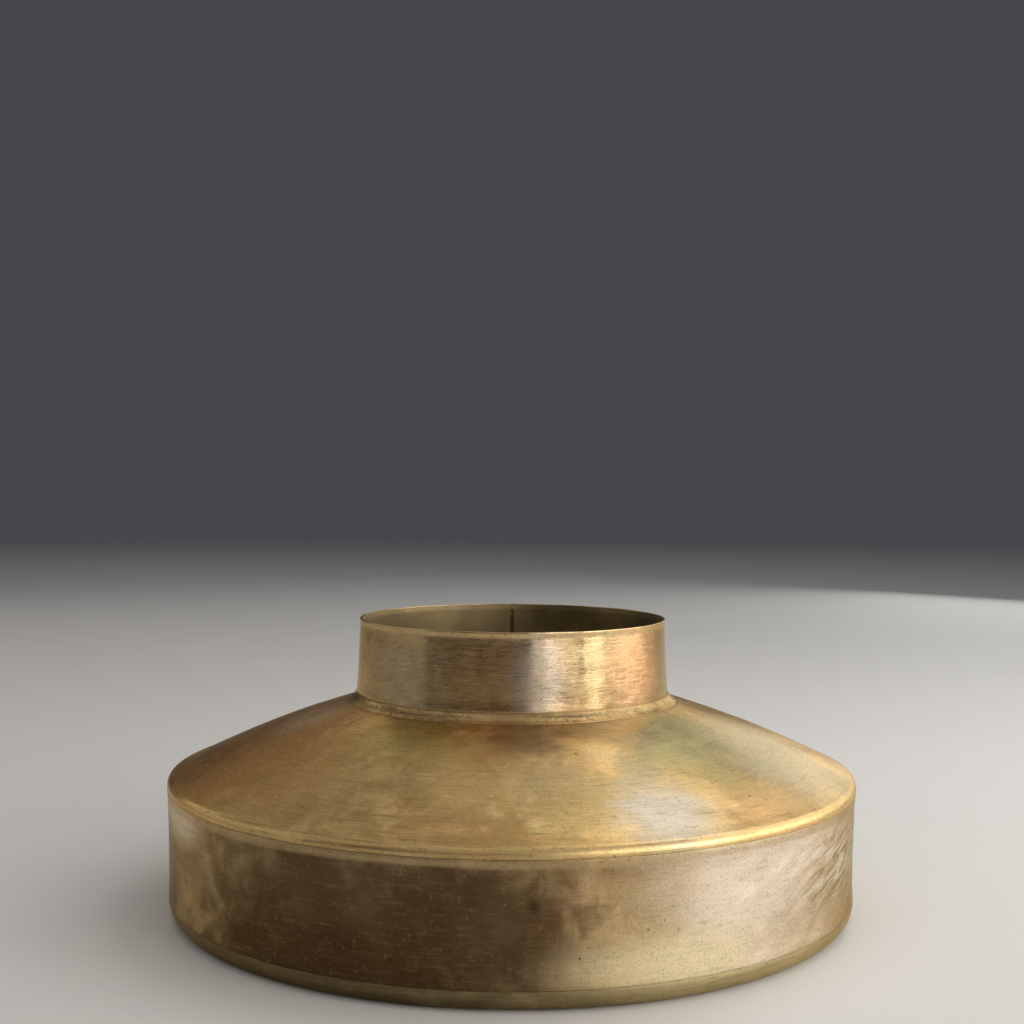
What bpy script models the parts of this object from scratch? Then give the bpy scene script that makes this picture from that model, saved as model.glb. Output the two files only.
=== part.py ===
"""Brass planter pot: a squat drum with a sloping shoulder and a short open neck.

The pot is sheet brass, built as a metalworker would build it: a rolled neck band,
a spun shoulder, a rolled drum band and a dished base. The shoulder and the base
each have a joggled spigot that slides inside a band, and brazing fillets close the
joints. The two rolled bands are butted and brazed along the back of the pot.

Metres, +Z up. The origin is the middle of the footprint, on the surface that the
pot stands on. The back of the pot, with its seams, is at +Y.
"""

import math

import bmesh
import bpy
from mathutils import Matrix, Vector

# Driving dimensions, metres
SHEET = 0.001  # thickness of the brass sheet
FIT_GAP = 0.0003  # clearance between neighbouring pieces
ROUND_STEPS = 64  # facets around every turned piece

HEIGHT = 0.1373
LIP_RADIUS = 0.0742
NECK_FOOT_RADIUS = 0.0759
NECK_FOOT_Z = 0.1009
THROAT_FLANGE_HEIGHT = 0.008  # how far the shoulder reaches up inside the neck
THROAT_BEND_RADIUS = 0.0035

FILLET_TOE_RADIUS = 0.0799  # where the braze around the neck meets the shoulder
SHOULDER_TOP_Z = 0.0975  # height of the shoulder under that toe
SHOULDER_CREASE_Z = 0.0637  # where the straight slope would meet the drum wall
SHOULDER_BELLY = 0.0018  # rise of the slope above a straight line
EDGE_RADIUS = 0.0042  # rounding between the slope and the drum wall

DRUM_RADIUS = 0.165  # at the shoulder edge
DRUM_FOOT_RADIUS = 0.164  # at the base corner
CORNER_RADIUS = 0.008  # rounding of the base corner
SPIGOT_LENGTH = 0.008  # lap of the shoulder and the base inside the drum wall
LEDGE_DROP = SHEET + 0.0001  # straight run beside each spigot, so that the sheet can fold

STANDING_RING_WIDTH = 0.010  # flat ring that the pot stands on
PUSH_UP_RUN = 0.010  # width of the slope from that ring to the raised middle
PUSH_UP = 0.003  # rise of the middle of the base

FILLET_RISE = 0.0007  # height of the neck braze above the foot of the neck band
FILLET_HOLLOW = 0.0008  # how far the neck braze's hollow face stays from its corner
LAP_BRAZE_WIDTH = 0.0007
LAP_BRAZE_HEIGHT = 0.0022
SEAM_WIDTH = 0.0014  # width of the filler in the back seams

SLOPE_POINTS = 10
BEND_POINTS = 5
LINEAR_TOLERANCE = 0.0001


def arc(centre, radius, start, end, count):
    """Points (r, z) on an arc, both ends included, with angles in degrees."""
    angles = [math.radians(start + (end - start) * i / (count - 1)) for i in range(count)]
    return [(centre[0] + radius * math.cos(a), centre[1] + radius * math.sin(a)) for a in angles]


def bowed_line(start, end, rise, count):
    """Points from start to end on a line bowed to its left by rise at the middle."""
    run, drop = end[0] - start[0], end[1] - start[1]
    length = math.hypot(run, drop)
    normal = (-drop / length, run / length)
    points = []
    for i in range(count):
        t = i / (count - 1)
        bow = 4 * rise * t * (1 - t)
        points.append((start[0] + run * t + normal[0] * bow, start[1] + drop * t + normal[1] * bow))
    return points


def neck_radius(z):
    """Outer radius of the neck band, which flares a little towards its foot."""
    t = (HEIGHT - z) / (HEIGHT - NECK_FOOT_Z)
    return LIP_RADIUS + (NECK_FOOT_RADIUS - LIP_RADIUS) * t


# Slope of the shoulder, worked out from the driving dimensions
SLOPE_ANGLE = math.atan2(SHOULDER_TOP_Z - SHOULDER_CREASE_Z, DRUM_RADIUS - FILLET_TOE_RADIUS)
SLOPE_LENGTH = math.hypot(SHOULDER_TOP_Z - SHOULDER_CREASE_Z, DRUM_RADIUS - FILLET_TOE_RADIUS)
BELLY_ANGLE = math.atan(4 * SHOULDER_BELLY / SLOPE_LENGTH)
TOP_SLOPE = SLOPE_ANGLE - BELLY_ANGLE
EDGE_SLOPE = SLOPE_ANGLE + BELLY_ANGLE
EDGE_SETBACK = EDGE_RADIUS * math.tan((math.pi / 2 - EDGE_SLOPE) / 2)
EDGE_Z = SHOULDER_CREASE_Z - EDGE_SETBACK  # bottom of the rounded edge
EDGE_START = (
    DRUM_RADIUS - EDGE_SETBACK * math.cos(EDGE_SLOPE),
    SHOULDER_CREASE_Z + EDGE_SETBACK * math.sin(EDGE_SLOPE),
)

# Heights of the laps
UPPER_LEDGE_Z = EDGE_Z - LEDGE_DROP
WALL_HEAD_Z = UPPER_LEDGE_Z - FIT_GAP
LOWER_LEDGE_Z = CORNER_RADIUS + LEDGE_DROP
WALL_FOOT_Z = LOWER_LEDGE_Z + FIT_GAP
UPPER_SPIGOT_END = UPPER_LEDGE_Z - SPIGOT_LENGTH
LOWER_SPIGOT_END = LOWER_LEDGE_Z + SPIGOT_LENGTH


def wall_radius(z):
    """Outer radius of the drum wall, which narrows a little towards the base."""
    t = (EDGE_Z - z) / (EDGE_Z - CORNER_RADIUS)
    return DRUM_RADIUS + (DRUM_FOOT_RADIUS - DRUM_RADIUS) * min(max(t, 0.0), 1.0)


def spigot_radius(z):
    """Outer radius of a spigot, which fits inside the drum wall."""
    return wall_radius(z) - SHEET - FIT_GAP


def throat_bend(clearance=0.0):
    """Points of the bend from the throat flange to the slope, or of a parallel a clearance outside it."""
    flange = NECK_FOOT_RADIUS - SHEET - FIT_GAP
    end_radius = flange + THROAT_BEND_RADIUS * (1 - math.sin(TOP_SLOPE))
    end_z = SHOULDER_TOP_Z + (FILLET_TOE_RADIUS - end_radius) * math.tan(TOP_SLOPE)
    centre = (flange + THROAT_BEND_RADIUS, end_z + THROAT_BEND_RADIUS * math.cos(TOP_SLOPE))
    radius = THROAT_BEND_RADIUS - clearance
    return arc(centre, radius, 180, 270 - math.degrees(TOP_SLOPE), BEND_POINTS)


def neck_outline():
    """Outer side of the neck band, from the lip down."""
    return [(LIP_RADIUS, HEIGHT), (NECK_FOOT_RADIUS, NECK_FOOT_Z)]


def shoulder_outline():
    """Outer side of the shoulder: throat flange, slope, rounded edge, ledge and spigot."""
    flange_top = NECK_FOOT_Z + THROAT_FLANGE_HEIGHT
    toe = (FILLET_TOE_RADIUS, SHOULDER_TOP_Z)
    edge_centre = (DRUM_RADIUS - EDGE_RADIUS, EDGE_Z)
    return [
        (neck_radius(flange_top) - SHEET - FIT_GAP, flange_top),
        *throat_bend(),
        *bowed_line(toe, EDGE_START, SHOULDER_BELLY, SLOPE_POINTS),
        *arc(edge_centre, EDGE_RADIUS, 90 - math.degrees(EDGE_SLOPE), 0, BEND_POINTS + 1)[1:],
        (DRUM_RADIUS, UPPER_LEDGE_Z),
        (spigot_radius(UPPER_LEDGE_Z), UPPER_LEDGE_Z),
        (spigot_radius(UPPER_SPIGOT_END), UPPER_SPIGOT_END),
    ]


def wall_outline():
    """Outer side of the drum wall, from its head to its foot."""
    return [(wall_radius(WALL_HEAD_Z), WALL_HEAD_Z), (wall_radius(WALL_FOOT_Z), WALL_FOOT_Z)]


def base_outline():
    """Outer side of the base: spigot, ledge, corner, standing ring and raised middle."""
    corner_centre = (DRUM_FOOT_RADIUS - CORNER_RADIUS, CORNER_RADIUS)
    ring_inner = corner_centre[0] - STANDING_RING_WIDTH
    return [
        (spigot_radius(LOWER_SPIGOT_END), LOWER_SPIGOT_END),
        (spigot_radius(LOWER_LEDGE_Z), LOWER_LEDGE_Z),
        (DRUM_FOOT_RADIUS, LOWER_LEDGE_Z),
        *arc(corner_centre, CORNER_RADIUS, 0, -90, BEND_POINTS + 2),
        (ring_inner, 0.0),
        (ring_inner - PUSH_UP_RUN, PUSH_UP),
        (0.0, PUSH_UP),
    ]


def neck_braze_outline():
    """Section of the fillet that stands in the corner between the neck and the shoulder."""
    top = Vector((NECK_FOOT_RADIUS + FIT_GAP, NECK_FOOT_Z + FILLET_RISE))
    toe = Vector((FILLET_TOE_RADIUS + FIT_GAP, SHOULDER_TOP_Z + FIT_GAP))
    root = Vector((top.x + FILLET_HOLLOW, toe.y + 2 * FILLET_HOLLOW))
    face = []
    for i in range(BEND_POINTS):
        t = i / (BEND_POINTS - 1)
        face.append(tuple((1 - t) ** 2 * top + 2 * t * (1 - t) * root + t**2 * toe))
    under = [point for point in reversed(throat_bend(FIT_GAP)) if point[0] > top.x + FIT_GAP]
    return [*face, *under, (top.x, under[-1][1] + 2 * FIT_GAP)]


def lap_braze_outline(end_z, direction):
    """Section of the fillet that closes a spigot's free end against the drum wall.

    direction is -1 below the shoulder's spigot and +1 above the base's.
    """
    near = end_z + direction * FIT_GAP
    far = near + direction * LAP_BRAZE_HEIGHT
    outer_near = spigot_radius(near)
    section = [
        (outer_near - LAP_BRAZE_WIDTH, near),
        (outer_near, near),
        (spigot_radius(far), far),
    ]
    return section if direction < 0 else section[::-1]


def make_material(name, colour, roughness):
    """A metallic Principled material."""
    material = bpy.data.materials.new(name)
    material.use_nodes = True
    shader = material.node_tree.nodes["Principled BSDF"]
    shader.inputs["Base Color"].default_value = (*colour, 1.0)
    shader.inputs["Roughness"].default_value = roughness
    shader.inputs["Metallic"].default_value = 1.0
    material.diffuse_color = (*colour, 1.0)
    return material


def add_object(name, mesh, material, collection):
    """Links a new object with one material."""
    obj = bpy.data.objects.new(name, mesh)
    mesh.materials.append(material)
    collection.objects.link(obj)
    return obj


def turned(name, outline, material, collection, closed=False):
    """A piece turned from an outline of (r, z) points, top to bottom down its outer side.

    An open outline becomes a shell of sheet thickness, grown inwards. A closed one
    is the whole section of a solid ring.
    """
    mesh = bpy.data.meshes.new(name)
    edges = [(i, i + 1) for i in range(len(outline) - 1)]
    if closed:
        edges.append((len(outline) - 1, 0))
    mesh.from_pydata([(r, 0.0, z) for r, z in outline], edges, [])
    obj = add_object(name, mesh, material, collection)
    screw = obj.modifiers.new("Turn", "SCREW")
    screw.axis = "Z"
    screw.steps = screw.render_steps = ROUND_STEPS
    screw.use_merge_vertices = True
    screw.merge_threshold = LINEAR_TOLERANCE
    screw.use_smooth_shade = True
    if not closed:
        solidify = obj.modifiers.new("Sheet", "SOLIDIFY")
        solidify.thickness = SHEET
        solidify.offset = -1.0
        solidify.use_even_offset = True
    return obj


def box_mesh(name, size):
    """A box mesh of the given size, centred on its own origin."""
    mesh = bpy.data.meshes.new(name)
    bm = bmesh.new()
    bmesh.ops.create_cube(bm, size=1.0, matrix=Matrix.Diagonal((*size, 1.0)))
    bm.to_mesh(mesh)
    bm.free()
    return mesh


def seam(name, band, head, foot, material, collection, cutters):
    """Slits a rolled band along its back and fills the slit with a strip of braze.

    head and foot are the (r, z) ends of the band's outer side.
    """
    lean = math.atan2(foot[0] - head[0], head[1] - foot[1])
    length = math.hypot(head[0] - foot[0], head[1] - foot[1])
    middle = Vector((0.0, (head[0] + foot[0] - SHEET) / 2, (head[1] + foot[1]) / 2))
    strip_mesh = box_mesh(name, (SEAM_WIDTH, SHEET, length - 2 * FIT_GAP))
    strip = add_object(name, strip_mesh, material, collection)
    strip.location = middle
    strip.rotation_euler.x = lean

    slit_size = (SEAM_WIDTH + 2 * FIT_GAP, SHEET * 8, length * 1.5)
    cutter = bpy.data.objects.new(name + "_slit", box_mesh(name + "_slit", slit_size))
    cutter.location = middle
    cutter.hide_render = True
    cutter.display_type = "WIRE"
    cutters.objects.link(cutter)
    cut = band.modifiers.new("Seam", "BOOLEAN")
    cut.operation = "DIFFERENCE"
    cut.object = cutter
    return strip


def build():
    """Builds the whole pot."""
    for obj in list(bpy.data.objects):
        bpy.data.objects.remove(obj, do_unlink=True)
    pot = bpy.data.collections.new("Brass planter pot")
    cutters = bpy.data.collections.new("Cutters")
    for collection in (pot, cutters):
        bpy.context.scene.collection.children.link(collection)

    neck_brass = make_material("Neck brass", (0.36, 0.24, 0.12), 0.30)
    shoulder_brass = make_material("Shoulder brass", (0.47, 0.33, 0.12), 0.34)
    wall_brass = make_material("Wall brass", (0.40, 0.28, 0.13), 0.30)
    base_brass = make_material("Base brass", (0.33, 0.25, 0.12), 0.38)
    filler = make_material("Brazing filler", (0.55, 0.41, 0.20), 0.42)

    neck = turned("neck_collar", neck_outline(), neck_brass, pot)
    turned("neck_braze", neck_braze_outline(), filler, pot, closed=True)
    seam("neck_seam_braze", neck, *neck_outline(), filler, pot, cutters)

    turned("shoulder_shell", shoulder_outline(), shoulder_brass, pot)
    turned("shoulder_braze", lap_braze_outline(UPPER_SPIGOT_END, -1), filler, pot, closed=True)

    wall = turned("drum_wall", wall_outline(), wall_brass, pot)
    seam("wall_seam_braze", wall, *wall_outline(), filler, pot, cutters)

    turned("base_pan", base_outline(), base_brass, pot)
    turned("base_braze", lap_braze_outline(LOWER_SPIGOT_END, 1), filler, pot, closed=True)


build()
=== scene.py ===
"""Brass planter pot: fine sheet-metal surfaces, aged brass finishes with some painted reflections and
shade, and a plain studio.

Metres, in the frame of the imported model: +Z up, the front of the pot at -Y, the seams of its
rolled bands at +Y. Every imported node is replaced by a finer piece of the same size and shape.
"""

import logging
import math
from dataclasses import dataclass
from enum import Enum
from typing import Sequence

import bmesh
import bpy
from mathutils import Euler, Matrix, Vector, noise


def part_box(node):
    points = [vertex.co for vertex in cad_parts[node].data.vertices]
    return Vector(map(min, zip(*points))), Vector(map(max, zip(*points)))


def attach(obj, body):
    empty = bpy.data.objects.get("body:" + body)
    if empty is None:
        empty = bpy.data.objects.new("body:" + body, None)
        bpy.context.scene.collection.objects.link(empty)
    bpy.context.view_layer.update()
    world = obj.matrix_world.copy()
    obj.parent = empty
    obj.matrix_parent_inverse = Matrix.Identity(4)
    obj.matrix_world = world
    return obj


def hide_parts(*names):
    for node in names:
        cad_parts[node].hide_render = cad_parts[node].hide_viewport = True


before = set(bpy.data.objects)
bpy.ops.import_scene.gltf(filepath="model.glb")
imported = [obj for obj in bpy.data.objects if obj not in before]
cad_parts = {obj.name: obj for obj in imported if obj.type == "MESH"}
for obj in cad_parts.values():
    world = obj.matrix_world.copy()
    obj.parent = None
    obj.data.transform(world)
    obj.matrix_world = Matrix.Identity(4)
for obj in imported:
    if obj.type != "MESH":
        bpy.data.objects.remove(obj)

LOG = logging.getLogger("planter")
BODY = "root"
BACK = math.pi / 2  # direction of the seams around the pot, from +X towards +Y
AXIS_TOLERANCE = 1e-7  # points closer than this are one point
LARGEST_SETBACK = 0.45  # share of an edge that the rounding of its corner may take up
SHARP_EDGE = math.radians(50)  # edges that turn by more than this are shaded sharp
NOISE_RADIUS = 0.15  # radius on which a relief's size around the pot is true
FULL_SEGMENTS = 480  # sections of a sweep all the way round
SMALL_SEGMENTS = 420  # sections of the sweep of a small or hidden piece
STRIP_SEGMENTS = 6  # sections across a back seam

Point = tuple[float, float]
Colour = tuple[float, float, float]
Number = "float | Shade"

EDGE_TINT: Colour = (1.0, 0.84, 0.60)  # brass keeps its colour where it is seen edge on
RING_TURN = 0.25  # turn of the gloss that draws it out across the rings of scratches
GLINT_SLANT = math.radians(15.0)  # lean of the painted glint lines from the level
BRUSHING = (14.0, 14.0, 1500.0)  # features of the finest rings, around and around and down the pot


class Side(Enum):
    """Which face of the sheet a point of a section is on."""

    OUTSIDE = 0
    INSIDE = 1


@dataclass(frozen=True)
class Corner:
    """A point of a turned section: radius, height and the face of the sheet it is on."""

    r: float
    z: float
    side: Side = Side.OUTSIDE

    def toward(self, other: "Corner", share: float) -> "Corner":
        """The point that lies a share of the way to another.

        Args:
            other: The other point.
            share: The share of the way, from 0 to 1.

        Returns:
            The new point, on this point's side of the sheet.
        """
        r = self.r + (other.r - self.r) * share
        z = self.z + (other.z - self.z) * share
        return Corner(r, z, self.side)

    def distance(self, other: "Corner") -> float:
        """Distance to another point of the section."""
        return math.hypot(other.r - self.r, other.z - self.z)


# ---------------------------------------------------------------------------
# Outlines of turned sheet
# ---------------------------------------------------------------------------


def smooth_step(value: float) -> float:
    """A value limited to 0..1 and eased at both ends."""
    t = min(max(value, 0.0), 1.0)
    return t * t * (3 - 2 * t)


def arc(centre: Point, radius: float, start: float, end: float, count: int) -> list[Point]:
    """Points on an arc, both ends included.

    Args:
        centre: Middle of the arc, as radius and height.
        radius: Radius of the arc.
        start: Direction of the first point, in degrees.
        end: Direction of the last point, in degrees.
        count: Number of points.

    Returns:
        The points, as radius and height.
    """
    angles = [math.radians(start + (end - start) * i / (count - 1)) for i in range(count)]
    return [(centre[0] + radius * math.cos(a), centre[1] + radius * math.sin(a)) for a in angles]


def bowed_line(start: Point, end: Point, rise: float, count: int) -> list[Point]:
    """Points on a line that bows to its left.

    Args:
        start: First point.
        end: Last point.
        rise: Height of the bow at the middle.
        count: Number of points.

    Returns:
        The points, both ends included.
    """
    run, drop = end[0] - start[0], end[1] - start[1]
    length = math.hypot(run, drop)
    points = []
    for i in range(count):
        t = i / (count - 1)
        bow = 4 * rise * t * (1 - t) / length
        points.append((start[0] + run * t - drop * bow, start[1] + drop * t + run * bow))
    return points


def curve_through(start: Point, pull: Point, end: Point, count: int) -> list[Point]:
    """Points on a quadratic curve.

    Args:
        start: First point.
        pull: Point that the curve is drawn towards.
        end: Last point.
        count: Number of points.

    Returns:
        The points, both ends included.
    """
    points = []
    for i in range(count):
        t = i / (count - 1)
        a, b, c = (1 - t) ** 2, 2 * t * (1 - t), t**2
        r = a * start[0] + b * pull[0] + c * end[0]
        z = a * start[1] + b * pull[1] + c * end[1]
        points.append((r, z))
    return points


def parallel(outline: Sequence[Point], distance: float) -> list[Point]:
    """An outline moved inwards by a distance, with mitred corners.

    Args:
        outline: Points that run down the outer side of the piece.
        distance: How far inwards the new outline lies.

    Returns:
        One new point for each old one.
    """
    normals = []
    for a, b in zip(outline, outline[1:]):
        length = math.hypot(b[0] - a[0], b[1] - a[1])
        normals.append(((b[1] - a[1]) / length, -(b[0] - a[0]) / length))
    moved = []
    for i, (r, z) in enumerate(outline):
        before, after = normals[max(i - 1, 0)], normals[min(i, len(normals) - 1)]
        both = (before[0] + after[0], before[1] + after[1])
        scale = 2 * distance / (both[0] ** 2 + both[1] ** 2)
        moved.append((r + both[0] * scale, z + both[1] * scale))
    return moved


def eased(
    section: Sequence[Corner], radius: float, sharp: float = 40.0, steps: int = 3
) -> list[Corner]:
    """A closed section whose sharp corners are rounded.

    Args:
        section: Corners of the closed section.
        radius: Radius of the rounding.
        sharp: Turn above which a corner is rounded, in degrees.
        steps: Points added around a corner.

    Returns:
        The section with its rounded corners.
    """
    rounded = []
    count = len(section)
    for i, corner in enumerate(section):
        before, after = section[i - 1], section[(i + 1) % count]
        arrive = math.atan2(corner.z - before.z, corner.r - before.r)
        leave = math.atan2(after.z - corner.z, after.r - corner.r)
        turn = abs(math.remainder(leave - arrive, math.tau))
        if corner.r < AXIS_TOLERANCE or turn < math.radians(sharp):
            rounded.append(corner)
            continue
        setback = radius * math.tan(turn / 2)
        back = min(setback / corner.distance(before), LARGEST_SETBACK)
        forth = min(setback / corner.distance(after), LARGEST_SETBACK)
        start, end = corner.toward(before, back), corner.toward(after, forth)
        path = curve_through((start.r, start.z), (corner.r, corner.z), (end.r, end.z), steps + 1)
        rounded += [Corner(r, z, corner.side) for r, z in path]
    return rounded


def densified(section: Sequence[Corner], spacing: float) -> list[Corner]:
    """A closed section with points added along its edges.

    Args:
        section: Corners of the closed section.
        spacing: Largest distance between points.

    Returns:
        The section with its added points.
    """
    points = []
    for i, corner in enumerate(section):
        after = section[(i + 1) % len(section)]
        parts = max(1, math.ceil(corner.distance(after) / spacing))
        points += [corner.toward(after, k / parts) for k in range(parts)]
    return points


def sheet_section(
    outline: Sequence[Point], sheet: float, ease: float, spacing: float
) -> list[Corner]:
    """The closed section of a sheet shell.

    Args:
        outline: Outer side of the sheet, top to bottom.
        sheet: Thickness of the sheet.
        ease: Rounding of its edges and folds.
        spacing: Largest distance between points.

    Returns:
        The section's points, each with the face of the sheet that it is on.
    """
    outer = [Corner(r, z, Side.OUTSIDE) for r, z in outline]
    inner = [Corner(r, z, Side.INSIDE) for r, z in reversed(parallel(outline, sheet))]
    inner[-1] = Corner(inner[-1].r, inner[-1].z, Side.OUTSIDE)
    return densified(eased([*outer, *inner], ease), spacing)


# ---------------------------------------------------------------------------
# Hand work in the surface
# ---------------------------------------------------------------------------


@dataclass(frozen=True)
class Relief:
    """Gentle unevenness that hand work leaves in the sheet.

    A run is a point's radius less its height, which grows steadily down the whole pot.

    Attributes:
        depth: How far the surface is pushed at most.
        size: Size of the unevenness around the pot.
        seed: Shifts the pattern.
        push: Direction of the push, as radius and height.
        run_range: The runs between which it lies.
        fade: How gradually it starts and ends.
        stretch: How much finer it is down the pot than around it.
        slant: How far the pattern moves down the pot with the direction around it.
        facing: Direction around the pot of its middle, if it doesn't go all the way round.
        spread: How far it reaches to both sides of facing.
    """

    depth: float
    size: float
    seed: float
    push: Point
    run_range: Point
    fade: float = 0.006
    stretch: float = 1.0
    slant: float = 0.0
    facing: float = 0.0
    spread: float = math.tau

    def shift(self, angle: float, run: float) -> float:
        """How far the surface is pushed at a point.

        Args:
            angle: The point's direction around the pot.
            run: The point's run down the pot.

        Returns:
            The distance, along the relief's push.
        """
        low, high = self.run_range
        window = smooth_step((run - low) / self.fade) * smooth_step((high - run) / self.fade)
        if self.spread < math.pi:
            off = abs(math.remainder(angle - self.facing, math.tau))
            window *= smooth_step(1.5 * (1 - off / self.spread))  # even over the middle third
        if window <= 0.0:
            return 0.0
        reach = NOISE_RADIUS / self.size
        along = run / self.size * self.stretch + self.seed + self.slant * angle
        wave = noise.noise(Vector((math.cos(angle) * reach, math.sin(angle) * reach, along)))
        return self.depth * window * (0.5 + 0.5 * wave)


@dataclass(frozen=True)
class Dent:
    """A shallow round knock in the sheet."""

    facing: float
    run: float
    radius: float
    depth: float
    push: Point

    def shift(self, angle: float, run: float) -> float:
        """How far the surface is pushed at a point.

        Args:
            angle: The point's direction around the pot.
            run: The point's run down the pot.

        Returns:
            The distance, along the dent's push.
        """
        around = math.remainder(angle - self.facing, math.tau) * NOISE_RADIUS
        away = math.hypot(around, run - self.run) / self.radius
        return self.depth * smooth_step(1 - away)


@dataclass
class TurnedPiece:
    """A piece swept around the upright axis from one closed section.

    The sweep goes all the way round unless gap is set, which leaves a slit at the back, or
    width is set, which keeps only a strip at the back.
    """

    name: str
    node: str
    slot: str
    section: list[Corner]
    reliefs: tuple[Relief | Dent, ...] = ()
    segments: int = FULL_SEGMENTS
    gap: float = 0.0
    width: float = 0.0

    def _angles(self) -> tuple[list[float], bool]:
        """Works out where the sweep's sections stand.

        Returns:
            Their directions around the pot, and whether the last one joins the first.
        """
        if self.width:
            start, turn = BACK - self.width / 2, self.width
        elif self.gap:
            start, turn = BACK + self.gap / 2, math.tau - self.gap
        else:
            return [math.tau * i / self.segments for i in range(self.segments)], True
        return [start + turn * i / self.segments for i in range(self.segments + 1)], False

    def _place(self, corner: Corner, angle: float) -> Vector:
        """Where a point of the section comes to lie, with the hand work pushed into it.

        Args:
            corner: The point of the section.
            angle: The direction around the pot.

        Returns:
            The place of the mesh's point.
        """
        r, z = corner.r, corner.z
        run = r - z
        for relief in self.reliefs:
            shift = relief.shift(angle, run)
            r, z = r + relief.push[0] * shift, z + relief.push[1] * shift
        return Vector((r * math.cos(angle), r * math.sin(angle), z))

    def build(self, outside: bpy.types.Material, inside: bpy.types.Material) -> None:
        """Makes the piece's mesh and object, and hands it to the frame.

        Args:
            outside: Material of the sheet's outer face.
            inside: Material of its inner face.
        """
        angles, closed = self._angles()
        count = len(self.section)
        mesh_build = bmesh.new()
        rings = [[mesh_build.verts.new(self._place(c, a)) for c in self.section] for a in angles]
        last = len(angles) if closed else len(angles) - 1
        for i in range(last):
            here, there = rings[i], rings[(i + 1) % len(angles)]
            for j in range(count):
                k = (j + 1) % count
                face = mesh_build.faces.new((here[j], here[k], there[k], there[j]))
                face.material_index = self.section[j].side.value
        if not closed:
            mesh_build.faces.new(rings[0][::-1])
            mesh_build.faces.new(rings[-1])
        bmesh.ops.remove_doubles(mesh_build, verts=mesh_build.verts, dist=AXIS_TOLERANCE)
        bmesh.ops.recalc_face_normals(mesh_build, faces=mesh_build.faces)
        mesh = bpy.data.meshes.new(self.name)
        mesh_build.to_mesh(mesh)
        mesh_build.free()
        mesh.shade_smooth()
        mesh.set_sharp_from_angle(angle=SHARP_EDGE)
        for material in (outside, inside):
            mesh.materials.append(material)
        piece = bpy.data.objects.new(self.name, mesh)
        bpy.context.scene.collection.objects.link(piece)
        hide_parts(self.node)
        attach(piece, BODY)
        LOG.info("%s: %d faces", self.name, len(mesh.polygons))


# ---------------------------------------------------------------------------
# Shader graphs
# ---------------------------------------------------------------------------


class Shade:
    """A value socket of a material that adds Math nodes when it is used in an expression."""

    def __init__(self, graph: "Graph", socket: bpy.types.NodeSocket) -> None:
        """Keeps the graph and the socket."""
        self.graph = graph
        self.socket = socket

    def _math(self, operation: str, first: Number, second: Number = 0.0) -> "Shade":
        """Adds one Math node on two values."""
        return self.graph.add("ShaderNodeMath", {"operation": operation}, {0: first, 1: second})

    def __add__(self, other: Number) -> "Shade":
        """self + other."""
        return self._math("ADD", self, other)

    __radd__ = __add__

    def __sub__(self, other: Number) -> "Shade":
        """self - other."""
        return self._math("SUBTRACT", self, other)

    def __rsub__(self, other: Number) -> "Shade":
        """other - self."""
        return self._math("SUBTRACT", other, self)

    def __mul__(self, other: Number) -> "Shade":
        """self * other."""
        return self._math("MULTIPLY", self, other)

    __rmul__ = __mul__

    def __truediv__(self, other: Number) -> "Shade":
        """self / other."""
        return self._math("DIVIDE", self, other)

    def __rtruediv__(self, other: Number) -> "Shade":
        """other / self."""
        return self._math("DIVIDE", other, self)

    def root(self) -> "Shade":
        """Square root."""
        return self._math("SQRT", self)

    def at_least(self, other: Number) -> "Shade":
        """The larger of two values."""
        return self._math("MAXIMUM", self, other)

    def at_most(self, other: Number) -> "Shade":
        """The smaller of two values."""
        return self._math("MINIMUM", self, other)

    def step(self, low: float, high: float) -> "Shade":
        """An eased step between two values.

        Args:
            low: Where the step starts.
            high: Where it is complete.

        Returns:
            0 below low and 1 above high, or the reverse if low is above high.
        """
        settings = {"interpolation_type": "SMOOTHSTEP"}
        ends = {"From Min": min(low, high), "From Max": max(low, high)}
        eased_value = self.graph.add("ShaderNodeMapRange", settings, {"Value": self, **ends})
        return eased_value if low < high else 1 - eased_value


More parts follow.
